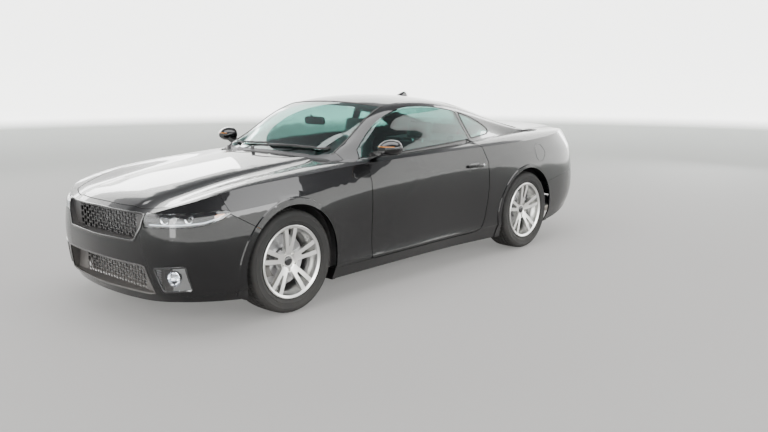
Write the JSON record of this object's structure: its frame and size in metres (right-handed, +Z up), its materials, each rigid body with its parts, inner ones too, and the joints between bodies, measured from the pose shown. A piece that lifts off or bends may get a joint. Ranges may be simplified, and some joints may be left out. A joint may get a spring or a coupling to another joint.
{
  "type": "muscle car",
  "caption": "Two-door fastback muscle car with honeycomb grilles, slim headlamps, twin-spoke alloy wheels, and doors, hood and trunk lid that open.",
  "frame": {"origin": "on the ground under the middle of the car", "axes": "+X forward, +Y to the car's left, +Z up"},
  "size_m": [4.7838, 2.1076, 1.381],
  "materials": {
    "paint": "gloss black paint",
    "glass": "green-tinted glass",
    "lens": "clear lamp lens",
    "red_lens": "red lamp lens",
    "grille_black": "satin black",
    "trim_black": "grained black plastic",
    "wheel_silver": "bright machined alloy",
    "tyre": "black rubber",
    "steel": "dark cast and pressed steel",
    "exhaust_steel": "stainless steel",
    "cabin_trim": "soft grained cabin trim",
    "seat_leather": "black leather"
  },
  "bodies": {
    "body_shell": {"arch_liners": "trim_black", "body_side_left": "paint", "body_side_right": "paint", "cowl": "trim_black", "dashboard": "cabin_trim", "engine_block": "steel", "exhaust": "exhaust_steel", "fender_left": "paint", "fender_right": "paint", "floor_pan": "steel", "fog_lamps": "lens", "front_bumper": "paint", "front_seats": "seat_leather", "front_structure": "steel", "fuel_tank": "steel", "headlamps": "lens", "hinge_pillars": "paint", "lower_grille": "grille_black", "quarter_windows": "glass", "rear_axle": "steel", "rear_bumper": "paint", "rear_deck": "paint", "rear_seat": "seat_leather", "rear_window": "glass", "roof_panel": "paint", "steering_wheel": "cabin_trim", "tail_lamps": "red_lens", "upper_grille": "grille_black", "windshield": "glass"},
    "hood": {"hood": "paint"},
    "trunk_lid": {"trunk_lid": "paint"},
    "door_left": {"door_left": "paint", "door_glass_left": "glass", "mirror_left": "paint"},
    "door_right": {"door_right": "paint", "door_glass_right": "glass", "mirror_right": "paint"},
    "knuckle_left": {"knuckle_left": "steel"},
    "knuckle_right": {"knuckle_right": "steel"},
    "wheel_front_left": {"rim_front_left": "wheel_silver", "tyre_front_left": "tyre"},
    "wheel_front_right": {"rim_front_right": "wheel_silver", "tyre_front_right": "tyre"},
    "wheel_rear_left": {"rim_rear_left": "wheel_silver", "tyre_rear_left": "tyre"},
    "wheel_rear_right": {"rim_rear_right": "wheel_silver", "tyre_rear_right": "tyre"}
  },
  "joints": [
    {"name": "hood_hinge", "type": "hinge", "parent": "body_shell", "child": "hood", "pos_m": [0.855, 0, 0.962], "axis": [0, -1, 0], "range_deg": [0, 55]},
    {"name": "trunk_hinge", "type": "hinge", "parent": "body_shell", "child": "trunk_lid", "pos_m": [-1.664, 0, 1.05], "axis": [0, 1, 0], "range_deg": [0, 70]},
    {"name": "door_left_hinge", "type": "hinge", "parent": "body_shell", "child": "door_left", "pos_m": [0.708, 0.904, 0.6], "axis": [0, 0, -1], "range_deg": [0, 65]},
    {"name": "door_right_hinge", "type": "hinge", "parent": "body_shell", "child": "door_right", "pos_m": [0.708, -0.904, 0.6], "axis": [0, 0, 1], "range_deg": [0, 65]},
    {"name": "steer_left", "type": "hinge", "parent": "body_shell", "child": "knuckle_left", "pos_m": [1.512, 0.741, 0.346], "axis": [0, 0, 1], "range_deg": [-34, 34]},
    {"name": "steer_right", "type": "hinge", "parent": "body_shell", "child": "knuckle_right", "pos_m": [1.512, -0.741, 0.346], "axis": [0, 0, 1], "range_deg": [-34, 34]},
    {"name": "spin_front_left", "type": "hinge", "parent": "knuckle_left", "child": "wheel_front_left", "pos_m": [1.512, 0.791, 0.346], "axis": [0, 1, 0], "continuous": true},
    {"name": "spin_front_right", "type": "hinge", "parent": "knuckle_right", "child": "wheel_front_right", "pos_m": [1.512, -0.791, 0.346], "axis": [0, 1, 0], "continuous": true},
    {"name": "spin_rear_left", "type": "hinge", "parent": "body_shell", "child": "wheel_rear_left", "pos_m": [-1.208, 0.822, 0.346], "axis": [0, 1, 0], "continuous": true},
    {"name": "spin_rear_right", "type": "hinge", "parent": "body_shell", "child": "wheel_rear_right", "pos_m": [-1.208, -0.822, 0.346], "axis": [0, 1, 0], "continuous": true}
  ],
  "couplings": [
    {"joint": "steer_right", "follows": "steer_left", "ratio": 1}
  ]
}
